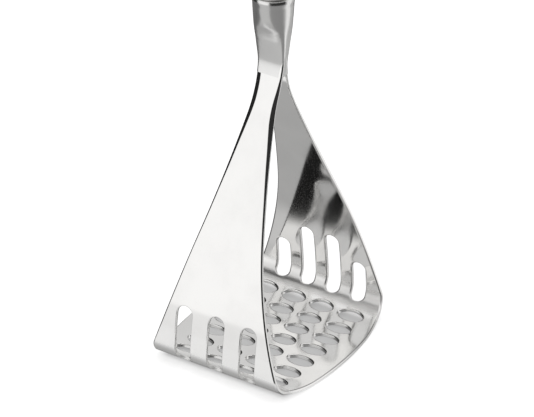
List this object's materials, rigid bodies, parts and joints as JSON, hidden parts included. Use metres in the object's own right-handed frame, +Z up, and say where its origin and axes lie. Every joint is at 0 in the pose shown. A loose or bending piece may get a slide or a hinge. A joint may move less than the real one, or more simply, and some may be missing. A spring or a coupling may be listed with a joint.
{
  "type": "potato masher",
  "caption": "Hand potato masher: a perforated pressing plate folded from one steel strip into a loop, with a neck and a round handle above.",
  "frame": {"origin": "centre of the flat underside of the pressing plate, where the tool stands", "axes": "+Z up along the handle, +Y towards the rear arm with four slots, +X across the pressing plate"},
  "size_m": [0.078, 0.0898, 0.2934],
  "materials": {
    "polished_strip": "mirror-polished stainless steel sheet",
    "polished_neck": "polished stainless steel, fine turning marks",
    "ring_steel": "dull stainless steel in a shadowed groove",
    "plug_steel": "machined stainless steel, unpolished",
    "rod_steel": "drawn stainless steel rod",
    "handle_steel": "satin-brushed stainless steel tube",
    "cap_steel": "polished stainless steel"
  },
  "bodies": {
    "root": {"blade": "polished_strip", "neck": "polished_neck", "spacer_ring": "ring_steel", "lower_plug": "plug_steel", "tie_rod": "rod_steel", "handle_shell": "handle_steel", "end_cap": "cap_steel"}
  },
  "joints": []
}
